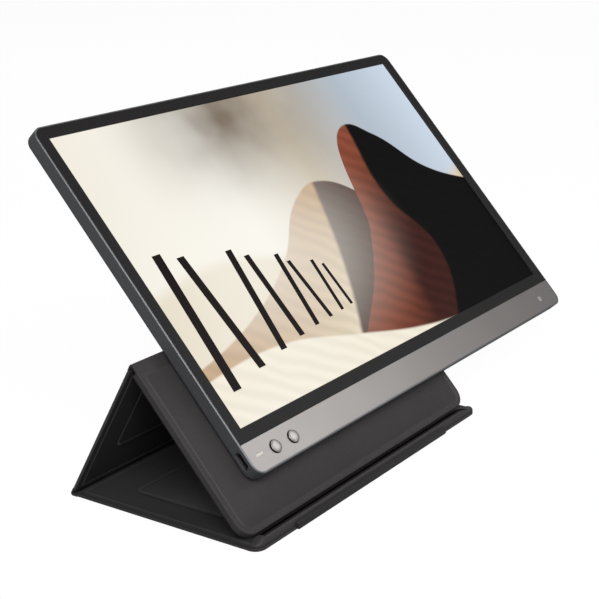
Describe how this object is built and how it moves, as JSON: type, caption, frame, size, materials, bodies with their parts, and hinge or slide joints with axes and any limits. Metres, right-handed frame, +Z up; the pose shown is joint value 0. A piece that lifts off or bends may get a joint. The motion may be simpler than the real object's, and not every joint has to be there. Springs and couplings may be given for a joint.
{
  "type": "portable monitor",
  "caption": "Slim portable monitor with a silver chin and round push buttons, held by magnets on its own leatherette cover folded into a triangular stand.",
  "frame": {"origin": "middle of the cover's base, on the table", "axes": "+X along the folds to the viewer's right, +Y to the back, +Z up"},
  "size_m": [0.3462, 0.1549, 0.1826],
  "materials": {
    "dark_plastic": "fine satin texture, dark grey",
    "black_plastic": "matt near-black",
    "silver_plastic": "silver-grey metallic paint",
    "display_glass": "anti-glare display surface, lit",
    "foam": "black foam",
    "steel_sheet": "plain sheet",
    "steel_bright": "bright",
    "circuit": "solder mask",
    "film": "thin sheet",
    "clear_acrylic": "clear",
    "chip_black": "moulded",
    "plated_plastic": "satin plated",
    "leatherette": "fine-grained, warm dark grey",
    "lining_fabric": "short-napped dark lining",
    "greyboard": "stiff board",
    "magnet": "plated"
  },
  "bodies": {
    "base": {"base_skin": "leatherette", "base_board": "greyboard", "base_lining": "lining_fabric", "base_keeper": "steel_sheet", "front_lip": "leatherette", "rear_fold_strip": "leatherette"},
    "rear_panel": {"rear_skin": "leatherette", "rear_board": "greyboard", "rear_lining": "lining_fabric", "top_fold_strip": "leatherette"},
    "support_panel": {"support_skin": "leatherette", "support_board": "greyboard", "support_lining": "lining_fabric", "panel_magnets": "magnet", "foot_magnets": "magnet"},
    "monitor": {"rear_cover": "dark_plastic", "front_bezel": "black_plastic", "chin_panel": "silver_plastic", "display_cell": "display_glass", "panel_gasket": "foam", "panel_chassis": "steel_sheet", "led_bar": "circuit", "reflector_sheet": "film", "light_guide": "clear_acrylic", "optical_films": "film", "panel_board": "circuit", "panel_flex": "film", "main_board": "circuit", "board_screws": "steel_bright", "usb_c_socket": "steel_bright", "board_shield": "steel_sheet", "board_chips": "chip_black", "cable_connector": "chip_black", "display_cable": "film", "tact_switches": "chip_black", "indicator_led": "circuit", "indicator_lens": "clear_acrylic", "steel_plate": "steel_sheet"},
    "menu_button": {"menu_button": "plated_plastic"},
    "power_button": {"power_button": "plated_plastic"}
  },
  "joints": [
    {"name": "rear_fold", "type": "hinge", "parent": "base", "child": "rear_panel", "pos_m": [0, 0.06125, 0.0012], "axis": [-1, 0, 0], "range_deg": [0, 121], "deforming": ["rear_fold_strip"]},
    {"name": "top_fold", "type": "hinge", "parent": "rear_panel", "child": "support_panel", "pos_m": [0, 0.01381, 0.07827], "axis": [-1, 0, 0], "range_deg": [0, 107], "deforming": ["top_fold_strip"]},
    {"name": "monitor_lift", "type": "slide", "parent": "support_panel", "child": "monitor", "axis": [0, -0.7549, 0.6559], "range_m": [0, 0.12]},
    {"name": "menu_button_press", "type": "slide", "parent": "monitor", "child": "menu_button", "axis": [0, 0.7549, -0.6559], "range_m": [0, 0.0004], "stiffness_N_per_m": 600, "springref_m": -0.001},
    {"name": "power_button_press", "type": "slide", "parent": "monitor", "child": "power_button", "axis": [0, 0.7549, -0.6559], "range_m": [0, 0.0004], "stiffness_N_per_m": 600, "springref_m": -0.001}
  ]
}
